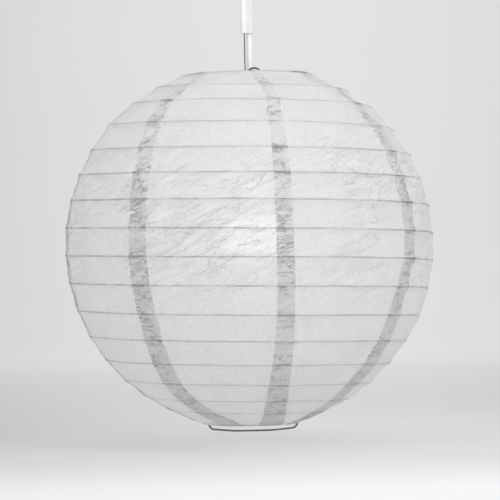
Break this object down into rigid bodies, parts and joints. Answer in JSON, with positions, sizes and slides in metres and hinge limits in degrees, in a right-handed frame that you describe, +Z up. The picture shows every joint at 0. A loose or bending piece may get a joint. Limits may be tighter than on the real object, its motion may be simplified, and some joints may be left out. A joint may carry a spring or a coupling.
{
  "type": "paper lantern pendant",
  "caption": "Round accordion paper lantern on a spiral wire rib, held open by a wire expander and hung on its flex with lampholder, bulb and ceiling rose.",
  "frame": {"origin": "centre of the ceiling rose's upper face, where it meets the ceiling", "axes": "+Z up towards the ceiling, the flex hangs down the Z axis; -Y is the front, and +X is to the right seen from the front"},
  "size_m": [0.4074, 0.4074, 0.5506],
  "materials": {
    "white_paper": "thin matt tissue",
    "white_plastic": "fine matt",
    "white_flex": "smooth satin sheath",
    "core_brown": "smooth",
    "core_blue": "smooth",
    "steel_wire": "drawn wire",
    "zinc_steel": "zinc plated",
    "brass": "plain",
    "ceramic": "unglazed steatite",
    "frosted_dome": "frosted diffuser",
    "bulb_plastic": "satin",
    "nickel_cap": "nickel plated",
    "black_insulator": "dark glass"
  },
  "bodies": {
    "ceiling_set": {"rose_base": "white_plastic", "terminal_block": "white_plastic", "terminal_screw_left": "brass", "terminal_screw_right": "brass", "cord_clamp": "white_plastic", "clamp_screw_left": "zinc_steel", "clamp_screw_right": "zinc_steel", "core_live": "core_brown", "core_neutral": "core_blue", "flex": "white_flex", "holder_cap": "white_plastic", "holder_body": "white_plastic", "holder_insert": "ceramic", "holder_shell": "brass", "holder_contact": "brass"},
    "cover": {"rose_cover": "white_plastic"},
    "hanger": {"cord_grip": "white_plastic", "grip_screw": "zinc_steel", "hanging_link": "steel_wire"},
    "shade": {"expander_wire": "steel_wire", "expander_crimp": "zinc_steel", "top_hoop": "steel_wire", "spiral_rib": "steel_wire", "paper_gore_1": "white_paper", "paper_gore_2": "white_paper", "paper_gore_3": "white_paper", "paper_gore_4": "white_paper", "paper_gore_5": "white_paper", "paper_gore_6": "white_paper", "paper_gore_7": "white_paper", "paper_gore_8": "white_paper"},
    "low_hoop": {"bottom_hoop": "steel_wire"},
    "bulb": {"bulb_globe": "frosted_dome", "bulb_housing": "bulb_plastic", "bulb_screw": "nickel_cap", "bulb_insulator": "black_insulator", "bulb_tip": "nickel_cap"}
  },
  "joints": [
    {"name": "rose_cover_slide", "type": "slide", "parent": "ceiling_set", "child": "cover", "axis": [0, 0, 1], "range_m": [-0.034, 0]},
    {"name": "lantern_height", "type": "slide", "parent": "ceiling_set", "child": "hanger", "axis": [0, 0, 1], "range_m": [-0.04, 0]},
    {"name": "lantern_swing", "type": "hinge", "parent": "hanger", "child": "shade", "pos_m": [-0.0054, -0.0065, -0.1588], "axis": [1, 0, 0], "range_deg": [-10, 10]},
    {"name": "fold", "type": "slide", "parent": "shade", "child": "low_hoop", "axis": [0, 0, 1], "range_m": [0, 0.357], "deforming": ["spiral_rib", "paper_gore_1", "paper_gore_2", "paper_gore_3", "paper_gore_4", "paper_gore_5", "paper_gore_6", "paper_gore_7", "paper_gore_8"]},
    {"name": "bulb_out", "type": "slide", "parent": "ceiling_set", "child": "bulb", "axis": [0, 0, 1], "range_m": [-0.03, 0]}
  ]
}
